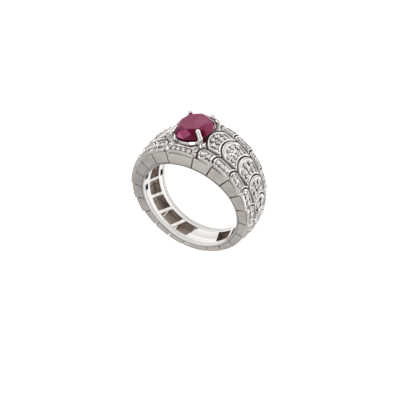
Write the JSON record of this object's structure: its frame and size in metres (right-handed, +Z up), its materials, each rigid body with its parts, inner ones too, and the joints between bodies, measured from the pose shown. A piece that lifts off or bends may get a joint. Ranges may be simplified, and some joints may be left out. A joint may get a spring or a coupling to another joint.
{
  "type": "ruby and diamond ring",
  "caption": "Wide domed ring of articulated links round a polished sleeve, with pave scales and leaves and a claw-set oval ruby, lying on its side.",
  "frame": {"origin": "middle of the bounding box, on the surface that the ring lies on", "axes": "+X from the back of the ring towards the ruby, +Z up through the finger hole"},
  "size_m": [0.0244, 0.0224, 0.0109],
  "materials": {
    "satin_metal": "satin",
    "polished_metal": "polished",
    "ruby": "polished",
    "diamond": "polished"
  },
  "bodies": {
    "root": {"inner_frame": "polished_metal", "head_link": "satin_metal", "link_left_1": "satin_metal", "link_left_2": "satin_metal", "link_left_3": "satin_metal", "link_left_4": "satin_metal", "link_left_5": "satin_metal", "link_left_6": "satin_metal", "link_left_7": "satin_metal", "link_left_8": "satin_metal", "link_left_9": "satin_metal", "link_right_1": "satin_metal", "link_right_2": "satin_metal", "link_right_3": "satin_metal", "link_right_4": "satin_metal", "link_right_5": "satin_metal", "link_right_6": "satin_metal", "link_right_7": "satin_metal", "link_right_8": "satin_metal", "link_right_9": "satin_metal", "back_link": "satin_metal", "ruby": "ruby", "diamonds_left": "diamond", "diamonds_right": "diamond"}
  },
  "joints": []
}
